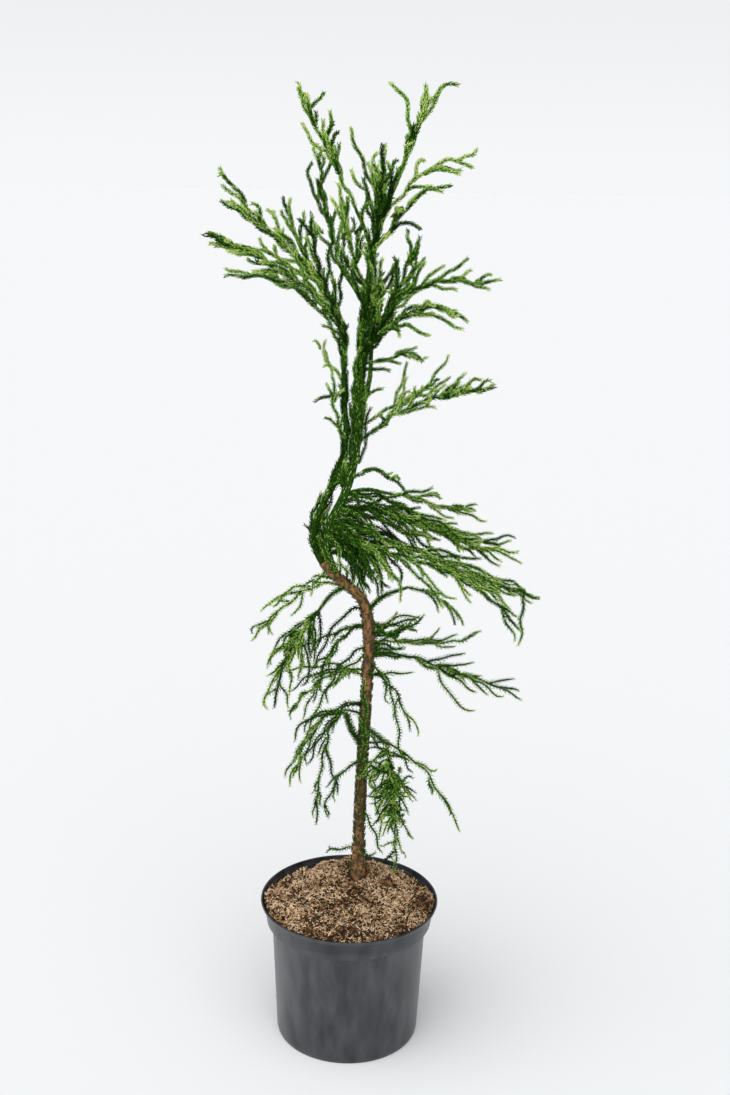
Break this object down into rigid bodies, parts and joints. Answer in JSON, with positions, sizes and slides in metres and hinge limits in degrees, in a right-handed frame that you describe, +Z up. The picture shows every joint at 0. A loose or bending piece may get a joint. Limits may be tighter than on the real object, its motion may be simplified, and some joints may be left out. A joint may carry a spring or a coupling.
{
  "type": "potted cryptomeria",
  "caption": "Young conifer with a crooked trunk and whip-like needled shoots, sweeping to one side, in a round black nursery pot filled with compost.",
  "frame": {"origin": "middle of the pot's flat underside", "axes": "+Z up along the pot's axis, -Y towards the front, where the crown's tail sweeps to +X"},
  "size_m": [0.3737, 0.2276, 1.1378],
  "materials": {
    "pot": "satin black",
    "compost": "loose chopped bark and fibre",
    "bark": "flaky red-brown bark",
    "green_stem": "smooth young green bark",
    "needles_dark": "soft short needles",
    "needles_mid": "soft short needles",
    "needles_light": "soft short needles",
    "needles_deep": "soft short needles"
  },
  "bodies": {
    "root": {"pot": "pot", "soil": "compost", "trunk": "bark", "leader": "green_stem", "bough_fan": "green_stem", "bough_left_up": "green_stem", "bough_top_left": "green_stem", "bough_tail": "green_stem", "bough_tail_high": "green_stem", "bough_arch": "green_stem", "bough_long": "green_stem", "bough_left_arc": "green_stem", "bough_low_left": "bark", "bough_low_right": "bark", "spray_top": "needles_dark", "spray_top_left": "needles_mid", "spray_top_mid": "needles_light", "spray_right_up": "needles_deep", "spray_right_arc": "needles_dark", "spray_left_up": "needles_mid", "spray_left_near": "needles_light", "spray_centre": "needles_deep", "spray_left_fan": "needles_dark", "spray_left_out": "needles_mid", "spray_left_low": "needles_light", "spray_left_high": "needles_deep", "spray_left_front": "needles_dark", "spray_fan_high": "needles_mid", "spray_fan_mid": "needles_light", "spray_fan_back": "needles_deep", "spray_fan_low": "needles_dark", "spray_loop": "needles_mid", "spray_right_limb": "needles_light", "spray_right_limb_up": "needles_deep", "spray_left_brush": "needles_dark", "spray_left_hook": "needles_mid", "spray_tail_arch": "needles_light", "spray_tail_high": "needles_deep", "spray_tail_back": "needles_dark", "spray_tail_mid": "needles_mid", "spray_tail": "needles_light", "spray_tail_low": "needles_deep", "spray_tail_under": "needles_dark", "spray_arch": "needles_mid", "spray_arch_foot": "needles_light", "spray_long": "needles_deep", "spray_long_up": "needles_dark", "spray_hang_right": "needles_mid", "spray_left_arc": "needles_light", "spray_left_arc_out": "needles_deep", "spray_left_mid": "needles_dark", "spray_left_drop": "needles_mid", "spray_low_left": "needles_light", "spray_low_deep": "needles_deep", "spray_foot_left": "needles_dark", "spray_front": "needles_mid", "spray_bush": "needles_light", "spray_bush_out": "needles_deep", "spray_bush_long": "needles_dark", "spray_foot_back": "needles_mid"}
  },
  "joints": []
}
